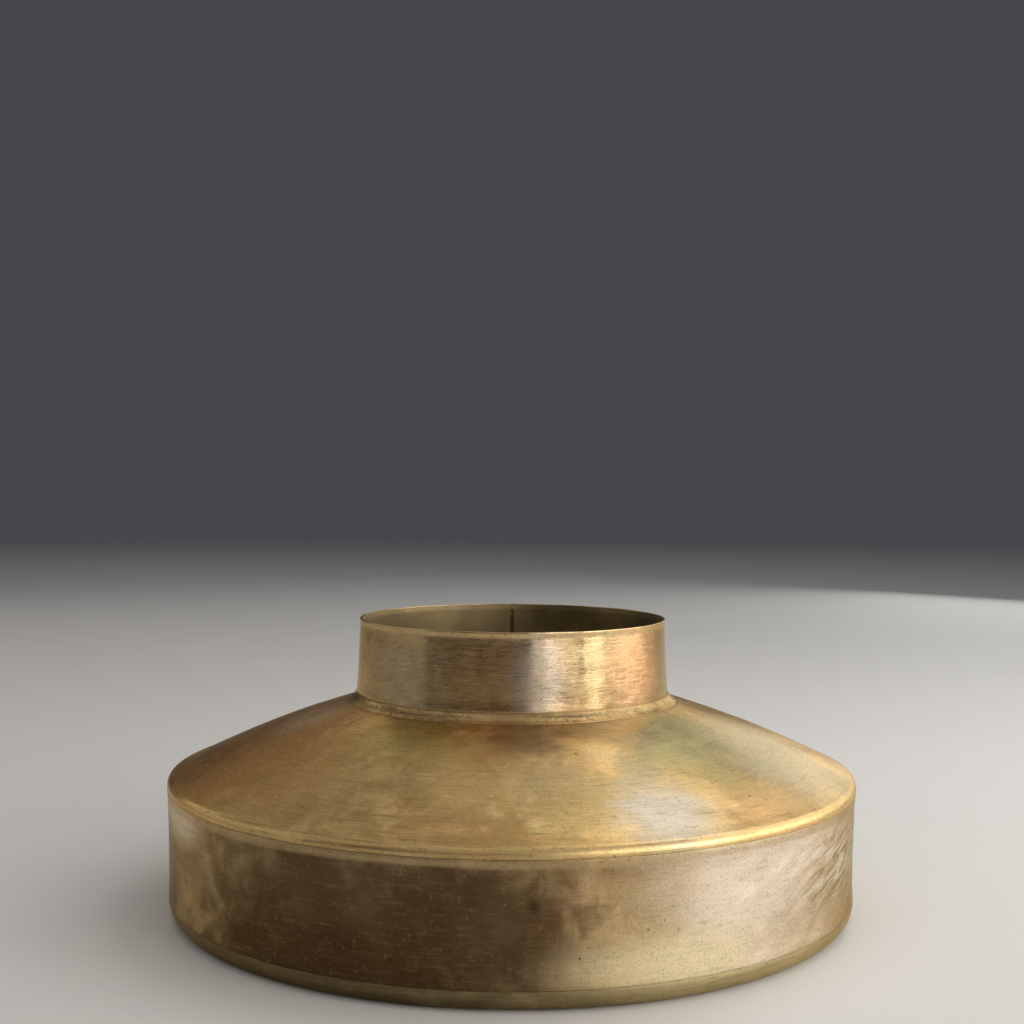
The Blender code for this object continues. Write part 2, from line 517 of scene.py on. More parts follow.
class Graph:
    """The node tree of one new material with a Principled shader."""

    def __init__(self, name: str) -> None:
        """Makes the material.

        Args:
            name: The material's name.
        """
        self.material = bpy.data.materials.new(name)
        self.material.use_nodes = True
        self.tree = self.material.node_tree
        self.shader = self.tree.nodes["Principled BSDF"]

    def add(
        self,
        kind: str,
        settings: dict[str, object] | None = None,
        inputs: dict[int | str, object] | None = None,
        output: int | str = 0,
    ) -> Shade:
        """Adds a node.

        Args:
            kind: The node's type.
            settings: Its settings, which are set before its sockets.
            inputs: Values or links of its sockets, by name or number.
            output: The output to return.

        Returns:
            The output, ready for use in an expression.
        """
        node = self.tree.nodes.new(kind)
        for key, value in (settings or {}).items():
            setattr(node, key, value)
        for key, value in (inputs or {}).items():
            self.feed(node.inputs[key], value)
        return Shade(self, node.outputs[output])

    def feed(self, socket: bpy.types.NodeSocket, value: object) -> None:
        """Links a socket, or sets its value.

        Args:
            socket: The socket.
            value: An expression to link, or a plain value to set.
        """
        if isinstance(value, Shade):
            self.tree.links.new(value.socket, socket)
        elif isinstance(value, tuple) and socket.type == "RGBA":
            socket.default_value = (*value, 1.0)
        else:
            socket.default_value = value

    def noise(
        self,
        vector: Shade,
        scale: float,
        detail: float = 2.0,
        roughness: float = 0.5,
        swirl: float = 0.0,
    ) -> Shade:
        """Noise from 0 to 1.

        Args:
            vector: Where it is read.
            scale: Its features in each unit of the vector.
            detail: How many finer layers it has.
            roughness: How strong the finer layers are.
            swirl: How far it is distorted.

        Returns:
            The noise.
        """
        inputs = {
            "Vector": vector,
            "Scale": scale,
            "Detail": detail,
            "Roughness": roughness,
            "Distortion": swirl,
        }
        return self.add("ShaderNodeTexNoise", {"noise_dimensions": "3D"}, inputs)

    def vector(self, x: Number, y: Number, z: Number) -> Shade:
        """A vector made from three values."""
        return self.add("ShaderNodeCombineXYZ", {}, {"X": x, "Y": y, "Z": z})

    def scaled(self, vector: Shade, by: tuple[float, float, float]) -> Shade:
        """A vector multiplied part by part."""
        return self.add("ShaderNodeVectorMath", {"operation": "MULTIPLY"}, {0: vector, 1: by})

    def moved(self, vector: Shade, by: tuple[float, float, float]) -> Shade:
        """A vector with another added."""
        return self.add("ShaderNodeVectorMath", {"operation": "ADD"}, {0: vector, 1: by})

    def mix(self, base: object, over: object, share: Number, blend: str = "MIX") -> Shade:
        """A colour with another laid over it.

        Args:
            base: The colour beneath.
            over: The colour on top.
            share: How much of the one on top shows.
            blend: How the two are blended.

        Returns:
            The mixed colour.
        """
        settings = {"data_type": "RGBA", "blend_type": blend}
        return self.add("ShaderNodeMix", settings, {0: share, 6: base, 7: over}, 2)

    def place(self) -> Shade:
        """The shaded point, in the pot's own coordinates."""
        return self.add("ShaderNodeTexCoord", output="Object")

    def bump(self, height: Shade, distance: float) -> Shade:
        """A normal that is tilted by a height, which counts as 1 for a distance."""
        inputs = {"Strength": 1.0, "Distance": distance, "Height": height}
        return self.add("ShaderNodeBump", {}, inputs)

    def finish(self, **sockets: object) -> bpy.types.Material:
        """Feeds the Principled shader's sockets.

        Args:
            sockets: Values or links, by the sockets' names with underscores for spaces.

        Returns:
            The material.
        """
        for name, value in sockets.items():
            self.feed(self.shader.inputs[name.replace("_", " ")], value)
        return self.material


def turned_place(g: Graph, place: Shade) -> tuple[Shade, Shade]:
    """Coordinates that follow a turned surface.

    Args:
        g: The material's graph.
        place: The shaded point.

    Returns:
        The run down the pot, and a vector of the direction around it and that run.
    """
    split = g.add("ShaderNodeSeparateXYZ", {}, {0: place})
    x, y, z = (Shade(g, split.socket.node.outputs[i]) for i in range(3))
    radius = (x * x + y * y).root().at_least(0.0005)
    run = radius - z
    return run, g.vector(x / radius, y / radius, run)


@dataclass(frozen=True)
class Patch:
    """A cloud on one side of the pot. Some are tarnish and polish; others are painted reflections,
    highlights and shade.

    Attributes:
        facing: Its direction in degrees, counted from the front towards +X.
        radius: Its distance from the pot's axis.
        height: Its height.
        size: How far it reaches.
        colour: Its colour.
        strength: How much it covers.
        flatten: How many times wider it is than high.
    """

    facing: float
    radius: float
    height: float
    size: float
    colour: Colour
    strength: float
    flatten: float = 1.0

    def centre(self) -> Vector:
        """Where the cloud's middle lies."""
        angle = math.radians(self.facing)
        return Vector((self.radius * math.sin(angle), -self.radius * math.cos(angle), self.height))


@dataclass(frozen=True)
class Line:
    """A line around a turned piece, at a run down it, that is rubbed bright or holds dirt."""

    run: float
    width: float
    strength: float

    @staticmethod
    def cover(lines: Sequence["Line"], run: Shade, waver: Shade) -> Shade:
        """How much of the metal the lines cover, with uneven edges.

        Args:
            lines: The lines.
            run: Radius less height at the shaded point.
            waver: Noise that makes the lines uneven.

        Returns:
            The cover, from 0 to 1.
        """
        total = run * 0.0
        for line in lines:
            off = (run - line.run) / line.width + (waver - 0.5) * 0.8
            total = (off * off).step(1.0, 0.15) * (line.strength * (waver * 0.8 + 0.6)) + total
        return total.at_most(1.0)


@dataclass(frozen=True)
class Marks:
    """Stains, scratches and painted light of one surface, drawn with noises that they share."""

    g: Graph
    place: Shade
    shifted: Shade
    clouds: Shade
    mottle: Shade

    def cloud(self, patch: Patch) -> Shade:
        """Where a patch covers the metal.

        Args:
            patch: The patch.

        Returns:
            The cover, from 0 to the patch's strength, with an uneven edge.
        """
        offset = self.g.moved(self.place, tuple(-patch.centre()))
        offset = self.g.scaled(offset, (1.0, 1.0, patch.flatten))
        length = self.g.add("ShaderNodeVectorMath", {"operation": "LENGTH"}, {0: offset}, "Value")
        edge = length / patch.size + (self.mottle - 0.5) * 0.7 + (self.clouds - 0.5) * 0.8
        return edge.step(1.1, 0.25) * patch.strength

    def streaks(self, patch: Patch) -> Shade:
        """Slanting lines across the face of the metal at a patch, for painted glints and painted shade.

        Args:
            patch: The patch.

        Returns:
            Noise from 0 to 1.
        """
        turn = (0.0, 0.0, -math.radians(patch.facing))
        lean = (0.0, GLINT_SLANT, 0.0)
        square_on = self.g.add("ShaderNodeMapping", {}, {"Vector": self.place, "Rotation": turn})
        slanted = self.g.add("ShaderNodeMapping", {}, {"Vector": square_on, "Rotation": lean})
        return self.g.noise(self.g.scaled(slanted, (46.0, 20.0, 400.0)), 1.0, 3.0, 0.6, 0.8)

    def scuffs(self) -> Shade:
        """Sparse straight hair scratches that cross the rings in three directions.

        Returns:
            The cover, from 0 to 1.
        """
        total = self.mottle * 0.0
        directions = (((0.5, 0.2, 0.3), 1.3), ((-0.7, 0.4, 1.1), 7.9), ((1.1, -0.5, 0.2), 4.4))
        for turn, offset in directions:
            inputs = {"Vector": self.shifted, "Rotation": turn, "Scale": (26.0, 40.0, 2300.0)}
            turned = self.g.moved(self.g.add("ShaderNodeMapping", {}, inputs), (offset, -offset, offset))
            line = self.g.noise(turned, 1.0, 1.0, 0.5, 0.15)
            total = line.step(0.70, 0.78) * self.mottle.step(0.42, 0.60) + total
        return total.at_most(1.0)

    def pits(self) -> Shade:
        """Small sparse corrosion pits and a few larger spots, of uneven outline.

        Returns:
            The cover, from 0 to 1.
        """
        ragged = self.g.noise(self.shifted, 900.0, 2.0)
        total = ragged * 0.0
        for scale, size in ((150.0, 0.10), (55.0, 0.055)):
            inputs = {"Vector": self.shifted, "Scale": scale}
            cell = self.g.add("ShaderNodeTexVoronoi", {"feature": "F1"}, inputs, "Distance")
            tint = Shade(self.g, cell.socket.node.outputs["Color"])
            chosen = self.g.add("ShaderNodeSeparateColor", {}, {0: tint}).step(0.90, 0.92)
            total = (cell + (ragged - 0.5) * size * 1.4).step(size, size * 0.4) * chosen + total
        return total


@dataclass(frozen=True)
class AgedBrass:
    """Hand-polished brass that has tarnished unevenly.

    The fine scratches run around the pot, so the gloss is drawn out up and down it. Some of its clouds,
    and its slanting glint marks, are painted reflections, highlights and shade.
    """

    name: str
    bright: Colour
    warm: Colour
    olive: Colour
    rust: Colour
    dark: Colour
    roughness: float
    olive_share: float = 0.5
    rust_share: float = 0.5
    scratch: float = 1.0
    seed: float = 0.0
    anisotropy: float = 0.5
    coat: float = 0.1
    worn: tuple[Line, ...] = ()
    grime: tuple[Line, ...] = ()
    tarnish_and_painted_light: tuple[Patch, ...] = ()
    ripple_glints: tuple[Patch, ...] = ()
    edge: Colour = EDGE_TINT

    def make(self) -> bpy.types.Material:
        """Builds the material.

        Returns:
            The material.
        """
        g = Graph(self.name)
        place = g.place()
        run, around = turned_place(g, place)
        shifted = g.moved(place, (self.seed, self.seed * 0.7, -self.seed))

        clouds = g.noise(shifted, 16.0, 3.0, 0.55, 0.8)
        mottle = g.noise(shifted, 80.0, 5.0, 0.62, 0.6)
        marks = Marks(g, place, shifted, clouds, mottle)
        speckle = g.noise(shifted, 430.0, 4.0, 0.7)
        grain = g.noise(shifted, 1250.0, 2.0, 0.7)
        bands = g.noise(g.scaled(around, (2.2, 2.2, 210.0)), 1.0, 3.0, 0.6)
        brushed = g.noise(g.scaled(around, BRUSHING), 1.0, 4.0, 0.7)
        rings = g.noise(g.scaled(around, (5.0, 5.0, 620.0)), 1.0, 3.0, 0.6)

        tone = clouds * 0.36 + mottle * 0.34 + bands * 0.12 + speckle * 0.18
        colour = g.mix(self.warm, self.bright, tone.step(0.43, 0.57))
        olive = g.noise(g.moved(shifted, (3.1, 0.4, 1.7)), 27.0, 5.0, 0.62, 0.9).step(0.48, 0.60)
        rust = g.noise(g.moved(shifted, (0.2, 5.3, 2.9)), 23.0, 5.0, 0.62, 0.9).step(0.50, 0.62)
        colour = g.mix(colour, self.olive, olive * self.olive_share)
        colour = g.mix(colour, self.rust, rust * self.rust_share)
        # Tarnish and polish clouds, and also painted reflections, highlights and shade.
        for patch in self.tarnish_and_painted_light:
            colour = g.mix(colour, patch.colour, marks.cloud(patch))
        # Painted glints and painted shade: pale and darker slanting lines stand for light caught by a
        # rippled sheet.
        for patch in self.ripple_glints:
            cover, streaks = marks.cloud(patch), marks.streaks(patch)
            colour = g.mix(colour, self.warm, streaks.step(0.50, 0.38) * cover)
            colour = g.mix(colour, patch.colour, streaks.step(0.50, 0.60) * cover)

        worn = Line.cover(self.worn, run, bands)
        grime = Line.cover(self.grime, run, mottle)
        scuffs, pits = marks.scuffs(), marks.pits()
        layers = (
            (self.bright, worn),
            (self.dark, brushed.step(0.50, 0.30) * (0.36 * self.scratch)),
            (self.bright, brushed.step(0.52, 0.72) * (0.30 * self.scratch)),
            (self.dark, rings.step(0.44, 0.30) * (0.28 * self.scratch)),
            (self.bright, scuffs * (0.45 * self.scratch)),
            (self.dark, speckle.step(0.54, 0.74) * 0.40),
            (self.bright, speckle.step(0.44, 0.26) * 0.22),
            (self.dark, grain.step(0.50, 0.72) * 0.36),
            (self.dark, (pits * 0.8 + grime).at_most(1.0)),
        )
        for over, cover in layers:
            colour = g.mix(colour, over, cover)

        roughness = (
            self.roughness
            + (mottle - 0.5) * 0.20
            + (olive + rust) * 0.04
            + (brushed - 0.5) * 0.20
            + (speckle - 0.5) * 0.16
            + (grain - 0.5) * 0.14
            + (pits + grime) * 0.20
            - worn * 0.04
        )
        height = (
            brushed * (1.1 * self.scratch)
            + rings * 1.2
            + speckle * 0.7
            + mottle * 1.0
            - pits * 1.6
            - scuffs * 0.5
        )
        return g.finish(
            Base_Color=colour,
            Metallic=1.0,
            Roughness=roughness.at_least(0.12),
            Anisotropic=self.anisotropy,
            Anisotropic_Rotation=RING_TURN,
            Specular_Tint=self.edge,
            Coat_Weight=self.coat,
            Coat_Roughness=0.30,
            Normal=g.bump(height, 0.00003),
        )


@dataclass(frozen=True)
class Filler:
    """Brazing filler, filed smooth: more even than the sheet, dark where dirt lies."""

    name: str
    metal: Colour
    pale: Colour
    dirt: Colour
    roughness: float = 0.36
    grime: tuple[Line, ...] = ()

    def make(self) -> bpy.types.Material:
        """Builds the material.

        Returns:
            The material.
        """
        g = Graph(self.name)
        place = g.place()
        run, around = turned_place(g, place)
        lumps = g.noise(place, 120.0, 4.0, 0.6, 0.5)
        grain = g.noise(place, 1300.0, 3.0, 0.6)
        filed = g.noise(g.scaled(around, BRUSHING), 1.0, 3.0, 0.65)
        dirt = g.noise(place, 380.0, 4.0, 0.65).step(0.54, 0.68)
        grime = Line.cover(self.grime, run, lumps)
        colour = g.mix(self.metal, self.pale, lumps.step(0.42, 0.62) * 0.8)
        soiled = (dirt * 0.55 + filed.step(0.48, 0.32) * 0.35 + grime).at_most(1.0)
        colour = g.mix(colour, self.dirt, soiled)
        height = lumps * 3.0 + grain * 0.6 + filed * 1.0 - dirt * 1.2
        return g.finish(
            Base_Color=colour,
            Metallic=1.0,
            Roughness=self.roughness + (grain - 0.5) * 0.2 + (dirt + grime) * 0.15,
            Specular_Tint=EDGE_TINT,
            Normal=g.bump(height, 0.00004),
        )


@dataclass(frozen=True)
class WateredBrass:
    """The dull inside of the pot, stained by water up to an uneven line."""

    name: str
    metal: Colour
    stain: Colour
    scale: Colour
    water_line: float = 0.046
    roughness: float = 0.52

    def make(self) -> bpy.types.Material:
        """Builds the material.

        Returns:
            The material.
        """
        g = Graph(self.name)
        place = g.place()
        split = g.add("ShaderNodeSeparateXYZ", {}, {0: place})
        height_up = Shade(g, split.socket.node.outputs[2])
        clouds = g.noise(place, 28.0, 4.0, 0.6)
        spots = g.noise(place, 260.0, 4.0, 0.65)
        level = height_up + (clouds - 0.5) * 0.012
        soaked = level.step(self.water_line + 0.002, self.water_line - 0.004)
        tide = level.step(self.water_line - 0.004, self.water_line) * soaked
        colour = g.mix(self.metal, self.stain, clouds.step(0.35, 0.68) * 0.7)
        colour = g.mix(colour, self.stain, soaked * 0.55)
        crust = (tide * 1.4 + spots.step(0.58, 0.7) * soaked * 0.5) * 0.6
        colour = g.mix(colour, self.scale, crust)
        height = spots * 2.0 + clouds * 4.0 + crust * 2.0
        return g.finish(
            Base_Color=colour,
            Metallic=1 - crust * 0.6,
            Roughness=self.roughness + (spots - 0.5) * 0.25 + soaked * 0.08,
            Normal=g.bump(height, 0.00005),
        )


# ---------------------------------------------------------------------------
# The pot
# ---------------------------------------------------------------------------


@dataclass(frozen=True)
class PotSizes:
    """Leading sizes of the pot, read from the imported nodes, and the folds that go with them."""

    drum_radius: float
    drum_foot_radius: float
    height: float
    neck_foot_radius: float
    neck_foot_z: float
    flange_top_z: float
    fillet_toe: float
    upper_spigot_end: float
    lower_spigot_end: float
    wall_head_z: float
    wall_foot_z: float
    sheet: float = 0.001
    fit_gap: float = 0.0003
    lip_inset: float = 0.0017
    throat_bend: float = 0.0035
    slope_top_z: float = 0.0975
    crease_z: float = 0.0637
    belly: float = 0.0018
    edge_radius: float = 0.0042
    corner_radius: float = 0.008
    ring_width: float = 0.010
    push_up_run: float = 0.010
    push_up: float = 0.003
    seam_width: float = 0.0020

    @classmethod
    def from_frame(cls) -> "PotSizes":
        """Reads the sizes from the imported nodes.

        Returns:
            The sizes.
        """
        neck_low, neck_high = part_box("neck_collar")
        shell_low, shell_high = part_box("shoulder_shell")
        wall_low, wall_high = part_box("drum_wall")
        pan_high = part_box("base_pan")[1]
        return cls(
            drum_radius=shell_high[0],
            drum_foot_radius=pan_high[0],
            height=neck_high[2],
            neck_foot_radius=neck_high[0],
            neck_foot_z=neck_low[2],
            flange_top_z=shell_high[2],
            fillet_toe=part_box("neck_braze")[1][0],
            upper_spigot_end=shell_low[2],
            lower_spigot_end=pan_high[2],
            wall_head_z=wall_high[2],
            wall_foot_z=wall_low[2],
        )

    def neck_radius(self, z: float) -> float:
        """Outer radius of the neck band, which flares a little towards its foot."""
        share = (self.height - z) / (self.height - self.neck_foot_z)
        return self.neck_foot_radius - self.lip_inset * (1 - share)

    def wall_radius(self, z: float) -> float:
        """Outer radius of the drum wall, which narrows a little towards the base."""
        share = (self.edge_z - z) / (self.edge_z - self.corner_radius)
        return self.drum_radius + (self.drum_foot_radius - self.drum_radius) * min(max(share, 0.0), 1.0)

    def spigot_radius(self, z: float) -> float:
        """Outer radius of a spigot inside the drum wall."""
        return self.wall_radius(z) - self.sheet - self.fit_gap

    @property
    def slope_start(self) -> Point:
        """Where the shoulder's slope leaves the fillet around the neck."""
        return (self.fillet_toe - self.fit_gap, self.slope_top_z)

    @property
    def slope_angles(self) -> Point:
        """Slope of the shoulder below the horizontal.

        Returns:
            The slope at its top and the one at its edge.
        """
        run, drop = self.drum_radius - self.slope_start[0], self.slope_top_z - self.crease_z
        bow = math.atan(4 * self.belly / math.hypot(run, drop))
        return math.atan2(drop, run) - bow, math.atan2(drop, run) + bow

    @property
    def edge_setback(self) -> float:
        """Distance from the crease between slope and wall to where its rounding starts."""
        return self.edge_radius * math.tan((math.pi / 2 - self.slope_angles[1]) / 2)

    @property
    def edge_z(self) -> float:
        """Height at which the rounded edge turns into the drum wall."""
        return self.crease_z - self.edge_setback

    @property
    def slope_end(self) -> Point:
        """Where the shoulder's slope turns into its rounded edge."""
        angle, back = self.slope_angles[1], self.edge_setback
        return (self.drum_radius - back * math.cos(angle), self.crease_z + back * math.sin(angle))


SIZES = PotSizes.from_frame()
INWARD: Point = (-1.0, 0.0)
UPWARD: Point = (0.0, 1.0)
DOWN_SLOPE: Point = (-0.37, -0.93)
LIP_EASE = 0.00025  # rounding of the neck's filed lip
SEAM_EASE = 0.00010  # rounding of the other cut edges
SPACING = 0.0018  # of the points of a sheet's section
FILLET_SPACING = 0.0008
LAP = 0.0001  # how far filler laps over the metal that it joins

TARNISH = (0.10, 0.066, 0.036)
INSIDE = WateredBrass("inside_brass", (0.30, 0.22, 0.11), (0.13, 0.10, 0.055), (0.34, 0.40, 0.33))
FILLER = Filler("brazing_filler", (0.48, 0.34, 0.15), (0.68, 0.51, 0.25), TARNISH)
NECK_FILLER = Filler(
    name="neck_filler",
    metal=(0.37, 0.25, 0.115),
    pale=(0.50, 0.36, 0.17),
    dirt=(0.24, 0.155, 0.07),
    roughness=0.26,
    grime=(Line(-0.0256, 0.0010, 0.7),),
)


def back_seam(
    name: str, node: str, band: TurnedPiece, runs: Point, filler: bpy.types.Material
) -> None:
    """Builds the strip of filler in the slit of a rolled band.

    Args:
        name: The piece's name.
        node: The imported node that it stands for.
        band: The rolled band.
        runs: The runs between which the strip is uneven.
        filler: Its material.
    """
    lumps = Relief(0.00016, 0.004, 7.0, INWARD, runs, 0.002)
    reliefs = (*band.reliefs, lumps)
    strip = TurnedPiece(name, node, "brazing_filler", band.section, reliefs, width=band.gap)
    strip.segments = STRIP_SEGMENTS
    strip.build(filler, filler)


@dataclass
class Neck:
    """The rolled neck band, its back seam and the fillet at its foot."""

    sizes: PotSizes
    flare: float = 0.00025
    flare_height: float = 0.0030
    lip_points: int = 7
    fillet_rise: float = 0.0010
    fillet_hollow: float = 0.0009
    fillet_lip: float = 0.0003
    fillet_depth: float = 0.0004
    fillet_root: float = 0.0011
    fillet_ease: float = 0.00012
    fillet_points: int = 12
    finish: AgedBrass = AgedBrass(
        name="neck_brass",
        bright=(0.72, 0.53, 0.27),
        warm=(0.46, 0.30, 0.14),
        olive=(0.34, 0.28, 0.14),
        rust=(0.50, 0.26, 0.11),
        dark=TARNISH,
        roughness=0.17,
        olive_share=0.4,
        rust_share=0.35,
        scratch=0.75,
        seed=0.31,
        anisotropy=0.65,
        worn=(Line(-0.0612, 0.0024, 0.5),),
        grime=(Line(-0.0255, 0.0008, 0.55),),
        tarnish_and_painted_light=(
            Patch(-8.0, 0.075, 0.118, 0.036, (0.62, 0.36, 0.15), 0.7),
            Patch(-42.0, 0.075, 0.116, 0.026, (0.44, 0.39, 0.25), 0.65),
            Patch(-82.0, 0.075, 0.118, 0.021, (0.54, 0.25, 0.09), 0.85),
            # Painted reflection: a narrow pale upright strip in front.
            Patch(9.0, 0.075, 0.118, 0.015, (0.58, 0.49, 0.40), 0.75, 0.5),
            Patch(50.0, 0.075, 0.120, 0.024, (1.0, 0.56, 0.29), 0.85),
            Patch(76.0, 0.075, 0.116, 0.017, (0.42, 0.37, 0.27), 0.85),
            Patch(140.0, 0.075, 0.120, 0.040, (0.42, 0.27, 0.12), 0.6),
        ),
    )

    def _outline(self) -> list[Point]:
        """Outer side of the band: a slightly turned lip, then a straight flare to the foot.

        Returns:
            Its points, from the lip down.
        """
        s = self.sizes
        points = []
        for i in range(self.lip_points):
            z = s.height - self.flare_height * 1.4 * i / (self.lip_points - 1)
            lift = smooth_step((z - s.height + self.flare_height) / self.flare_height)
            points.append((s.neck_radius(z) + self.flare * lift, z))
        return [*points, (s.neck_foot_radius, s.neck_foot_z)]

    def _fillet(self) -> list[Corner]:
        """Section of the fillet, whose toe stands a little proud of the shoulder.

        Returns:
            The closed section.
        """
        s = self.sizes
        top = (s.neck_foot_radius - LAP, s.neck_foot_z + self.fillet_rise)
        toe = (s.fillet_toe - LAP, s.slope_top_z + LAP)
        root = (top[0] + self.fillet_hollow, toe[1] + 2 * self.fillet_hollow)
        face = curve_through((top[0] + self.fillet_lip, top[1]), root, toe, self.fillet_points)
        under = (toe[0] - LAP, toe[1] - self.fillet_depth)
        inner = (s.neck_foot_radius, s.slope_top_z + self.fillet_root)
        corners = [Corner(r, z) for r, z in [top, *face, under, inner]]
        return densified(eased(corners, self.fillet_ease), FILLET_SPACING)

    def build(self) -> None:
        """Builds and dresses the neck."""
        s = self.sizes
        section = sheet_section(self._outline(), s.sheet, LIP_EASE, SPACING)
        lip_run, foot_run = s.neck_radius(s.height) - s.height, s.neck_foot_radius - s.neck_foot_z
        reliefs = (
            Relief(0.00022, 0.030, 4.0, INWARD, (lip_run - 0.01, foot_run)),
            Relief(0.00007, 0.009, 9.0, INWARD, (lip_run, foot_run)),
            Relief(0.00018, 0.040, 2.0, (0.0, -1.0), (lip_run - 0.02, lip_run + 0.004), 0.003),
        )
        gap = s.seam_width / s.neck_foot_radius
        filler = NECK_FILLER.make()
        band = TurnedPiece(
            "neck_collar_band", "neck_collar", "neck_brass", section, reliefs, SMALL_SEGMENTS, gap
        )
        band.build(self.finish.make(), INSIDE.make())
        back_seam("neck_seam_filler", "neck_seam_braze", band, (lip_run, foot_run), filler)
        fillet_reliefs = (Relief(0.00016, 0.007, 5.0, (-0.5, 0.5), (-0.03, -0.0176), 0.002),)
        fillet = TurnedPiece(
            "neck_fillet", "neck_braze", "brazing_filler", self._fillet(), fillet_reliefs
        )
        fillet.build(filler, filler)


@dataclass
class Shoulder:
    """The spun shoulder with its throat flange, rounded edge and spigot."""

    sizes: PotSizes
    slope_points: int = 44
    finish: AgedBrass = AgedBrass(
        name="shoulder_brass",
        bright=(0.80, 0.56, 0.25),
        warm=(0.52, 0.345, 0.13),
        olive=(0.42, 0.335, 0.125),
        rust=(0.46, 0.25, 0.09),
        dark=TARNISH,
        roughness=0.33,
        olive_share=0.65,
        rust_share=0.5,
        seed=1.7,
        worn=(Line(0.1015, 0.0042, 0.55),),
        grime=(Line(-0.0170, 0.0012, 0.25), Line(0.1050, 0.0004, 0.1)),
        tarnish_and_painted_light=(
            Patch(-68.0, 0.130, 0.080, 0.090, (0.44, 0.20, 0.06), 0.9),
            Patch(-38.0, 0.138, 0.076, 0.062, (0.33, 0.20, 0.075), 0.75),
            Patch(-30.0, 0.090, 0.096, 0.032, (0.46, 0.37, 0.13), 0.7),
            Patch(-14.0, 0.105, 0.090, 0.020, (0.66, 0.46, 0.17), 0.6),
            # Painted shadow: a brown shade under the neck's fillet.
            Patch(3.0, 0.088, 0.0955, 0.034, (0.27, 0.195, 0.11), 0.8),
            # Painted shade: darker in front, below the neck.
            Patch(9.0, 0.124, 0.082, 0.026, (0.42, 0.33, 0.17), 0.75),
            Patch(-6.0, 0.120, 0.083, 0.028, (0.74, 0.52, 0.22), 0.6),
            Patch(-76.0, 0.100, 0.092, 0.024, (0.78, 0.62, 0.46), 0.6),
            # Painted reflections: the pale clouds at 66, 42, 21, 25 and 26 degrees stand for the lights
            # on the right; the small one at 21 is a painted glint.
            Patch(66.0, 0.132, 0.080, 0.056, (0.60, 0.56, 0.44), 0.8),
            Patch(42.0, 0.102, 0.092, 0.046, (0.56, 0.53, 0.27), 0.85),
            # Painted shade: darker and greyer beside the fillet on the right.
            Patch(31.0, 0.088, 0.096, 0.026, (0.34, 0.29, 0.18), 0.85),
            Patch(21.0, 0.106, 0.090, 0.013, (0.78, 0.66, 0.37), 0.7),
            Patch(10.0, 0.142, 0.074, 0.026, (0.44, 0.30, 0.12), 0.6),
            Patch(25.0, 0.145, 0.072, 0.031, (0.60, 0.54, 0.45), 0.9),
            Patch(26.0, 0.122, 0.083, 0.018, (0.52, 0.45, 0.27), 0.6),
            Patch(46.0, 0.156, 0.067, 0.028, (0.82, 0.52, 0.25), 0.6),
            Patch(160.0, 0.120, 0.085, 0.060, (0.46, 0.30, 0.12), 0.5),
        ),
    )

    def _outline(self) -> list[Point]:
        """Outer side: throat flange, bend, slope, rounded edge, ledge and spigot.

        Returns:
            Its points, from the top down.
        """
        s = self.sizes
        top_slope, edge_slope = s.slope_angles
        flange = s.neck_foot_radius - s.sheet - s.fit_gap
        bend_end = flange + s.throat_bend * (1 - math.sin(top_slope))
        bend_end_z = s.slope_top_z + (s.slope_start[0] - bend_end) * math.tan(top_slope)
        bend = (flange + s.throat_bend, bend_end_z + s.throat_bend * math.cos(top_slope))
        edge = (s.drum_radius - s.edge_radius, s.edge_z)
        ledge_z = s.wall_head_z + s.fit_gap
        return [
            (s.neck_radius(s.flange_top_z) - s.sheet - s.fit_gap, s.flange_top_z),
            *arc(bend, s.throat_bend, 180, 270 - math.degrees(top_slope), 9),
            *bowed_line(s.slope_start, s.slope_end, s.belly, self.slope_points),
            *arc(edge, s.edge_radius, 90 - math.degrees(edge_slope), 0, 12)[1:],
            (s.drum_radius, ledge_z),
            (s.spigot_radius(ledge_z), ledge_z),
            (s.spigot_radius(s.upper_spigot_end), s.upper_spigot_end),
        ]

    def build(self) -> None:
        """Builds and dresses the shoulder."""
        s = self.sizes
        section = sheet_section(self._outline(), s.sheet, SEAM_EASE, SPACING)
        top_run = s.slope_start[0] - s.slope_start[1]
        edge_run = s.slope_end[0] - s.slope_end[1]
        reliefs = (
            Relief(0.00045, 0.045, 1.0, DOWN_SLOPE, (top_run, edge_run + 0.004), 0.012),
            Relief(0.00012, 0.014, 6.0, DOWN_SLOPE, (top_run, edge_run + 0.002), 0.008),
            Dent(math.radians(-115.0), 0.055, 0.009, 0.00025, DOWN_SLOPE),
            Dent(math.radians(-58.0), 0.075, 0.012, 0.00020, DOWN_SLOPE),
            Dent(math.radians(70.0), 0.060, 0.010, 0.00030, DOWN_SLOPE),
        )
        shell = TurnedPiece("shoulder_spun_shell", "shoulder_shell", "shoulder_brass", section, reliefs)
        shell.build(self.finish.make(), INSIDE.make())
        lap_braze("upper_lap_fillet", "shoulder_braze", s.upper_spigot_end, -1, s)


